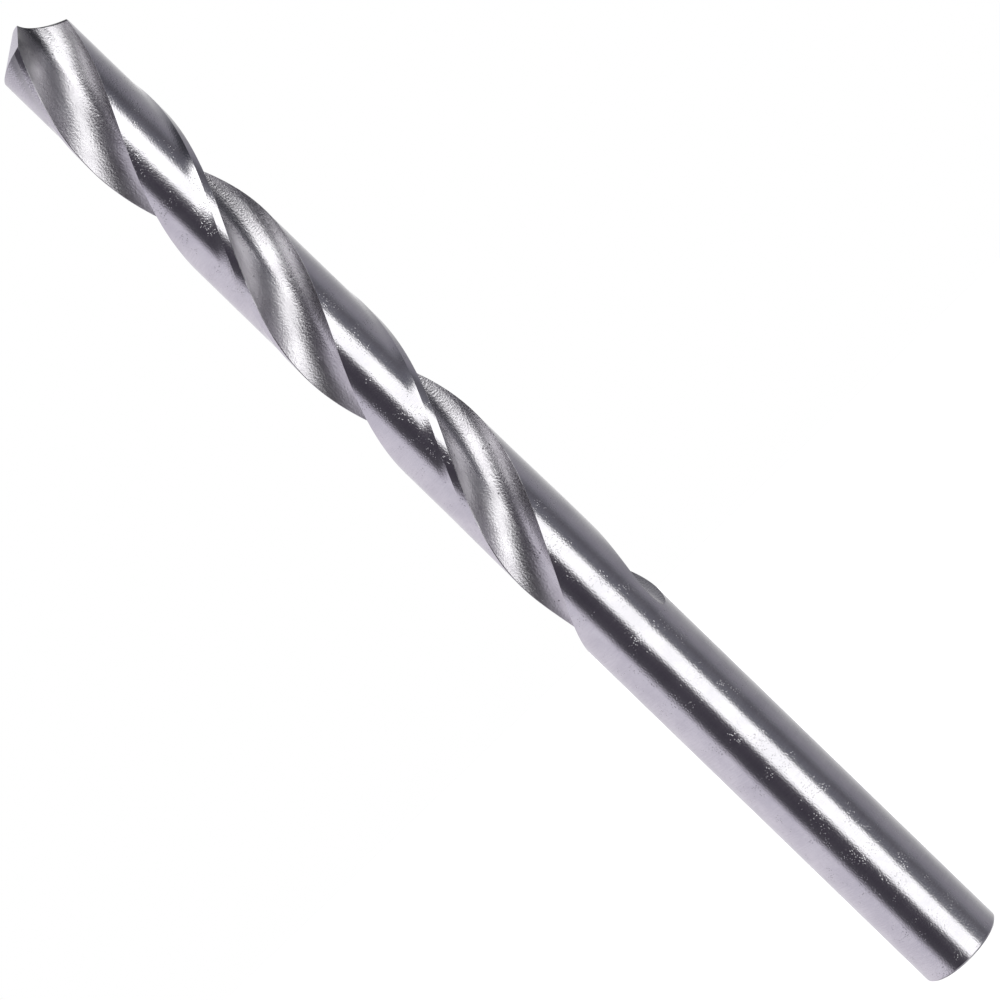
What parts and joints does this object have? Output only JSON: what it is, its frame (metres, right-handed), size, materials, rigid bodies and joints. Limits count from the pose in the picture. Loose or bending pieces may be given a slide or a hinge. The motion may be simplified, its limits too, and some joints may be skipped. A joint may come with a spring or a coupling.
{
  "type": "twist drill bit",
  "caption": "Straight-shank twist drill bit with right-hand helical flutes, narrow margins, a ground conical point and a plain round shank.",
  "frame": {"origin": "centre of the flat shank end", "axes": "+Z along the drill's axis from the shank to the point; the cutting lips lie along +X and -X at the point"},
  "size_m": [0.009, 0.009, 0.1257],
  "materials": {
    "bright_steel": "bright ground high-speed steel, uncoated"
  },
  "bodies": {
    "root": {"twist_drill": "bright_steel"}
  },
  "joints": []
}
